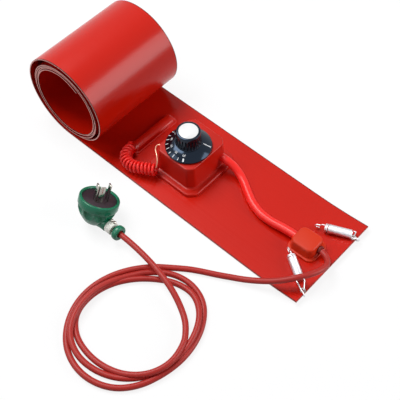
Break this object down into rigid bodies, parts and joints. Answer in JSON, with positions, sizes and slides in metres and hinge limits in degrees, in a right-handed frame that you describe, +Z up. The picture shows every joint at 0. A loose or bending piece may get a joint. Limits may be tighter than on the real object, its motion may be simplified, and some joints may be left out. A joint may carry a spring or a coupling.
{
  "type": "drum heater",
  "caption": "Flexible silicone band that wraps round a drum to warm it, rolled up at one end, with a knob thermostat, tension springs, mains cord and plug.",
  "frame": {"origin": "middle of the underside of the rolled-up heater, without its free cord", "axes": "+X along the band to its free end with the springs, +Y across the band to its rear edge, +Z up"},
  "size_m": [0.3973, 0.3306, 0.1128],
  "materials": {
    "band_silicone": "smooth semi-gloss silicone rubber, cast over a wound heating wire",
    "moulded_silicone": "satin moulded silicone rubber",
    "bright_silicone": "smooth bright silicone sleeving",
    "cord_jacket": "dull silicone cord jacket",
    "black_plastic": "glossy moulded phenolic",
    "white_plastic": "glossy pale disc",
    "case_plastic": "pale moulded thermoset",
    "plug_green": "glossy moulded plastic",
    "plug_dark": "matt moulded plastic",
    "clamp_cream": "plain moulded plastic",
    "pin_metal": "plated flat pins",
    "spring_steel": "bright nickel-plated wire",
    "eyelet_metal": "rolled nickel-plated eyelets",
    "plate_steel": "zinc-plated sheet steel",
    "screw_steel": "zinc-plated screws",
    "capillary_metal": "bare copper capillary"
  },
  "bodies": {
    "heater": {"heater_band": "band_silicone", "end_eyelets": "eyelet_metal", "inner_end_eyelets": "eyelet_metal", "sensor_cover": "moulded_silicone", "sensor_bulb": "capillary_metal", "capillary_coil": "bright_silicone", "capillary_tail": "capillary_metal", "thermostat_boot": "moulded_silicone", "thermostat_plate": "plate_steel", "thermostat_body": "case_plastic", "thermostat_terminals": "capillary_metal", "thermostat_screws": "screw_steel", "lead_sleeve": "bright_silicone", "junction_base": "moulded_silicone", "junction_block": "moulded_silicone", "cord_grommet": "moulded_silicone", "mains_cord_lead": "cord_jacket", "mains_cord_coil": "cord_jacket", "mains_cord_tail": "cord_jacket", "plug_shell": "plug_green", "plug_insert": "plug_dark", "plug_pin_live": "pin_metal", "plug_pin_neutral": "pin_metal", "plug_pin_earth": "pin_metal", "plug_clamp": "clamp_cream", "plug_clamp_screws": "screw_steel", "plug_collar": "plug_green"},
    "knob": {"control_knob": "black_plastic", "knob_cap": "white_plastic", "thermostat_shaft": "plate_steel"},
    "rear_spring": {"rear_spring_root": "spring_steel", "rear_spring_coil": "spring_steel"},
    "rear_hook": {"rear_spring_hook": "spring_steel"},
    "front_spring": {"front_spring_root": "spring_steel", "front_spring_coil": "spring_steel"},
    "front_hook": {"front_spring_hook": "spring_steel"}
  },
  "joints": [
    {"name": "knob_turn", "type": "hinge", "parent": "heater", "child": "knob", "pos_m": [-0.00678, -0.004, 0.045], "axis": [0, 0, 1], "range_deg": [-270, 0]},
    {"name": "rear_spring_flip", "type": "hinge", "parent": "heater", "child": "rear_spring", "pos_m": [0.19504, 0.04133, 0.0053], "axis": [-0.3633, 0.9317, 0], "range_deg": [0, 120]},
    {"name": "rear_spring_stretch", "type": "slide", "parent": "rear_spring", "child": "rear_hook", "axis": [-0.9273, -0.3615, -0.0969], "range_m": [0, 0.025], "stiffness_N_per_m": 500, "deforming": ["rear_spring_coil"]},
    {"name": "front_spring_swivel", "type": "hinge", "parent": "heater", "child": "front_spring", "pos_m": [0.19215, -0.0469, 0.0053], "axis": [0, 0, 1], "range_deg": [0, 10]},
    {"name": "front_spring_stretch", "type": "slide", "parent": "front_spring", "child": "front_hook", "axis": [-0.8267, 0.5576, -0.0745], "range_m": [0, 0.004], "stiffness_N_per_m": 500, "deforming": ["front_spring_coil"]}
  ]
}
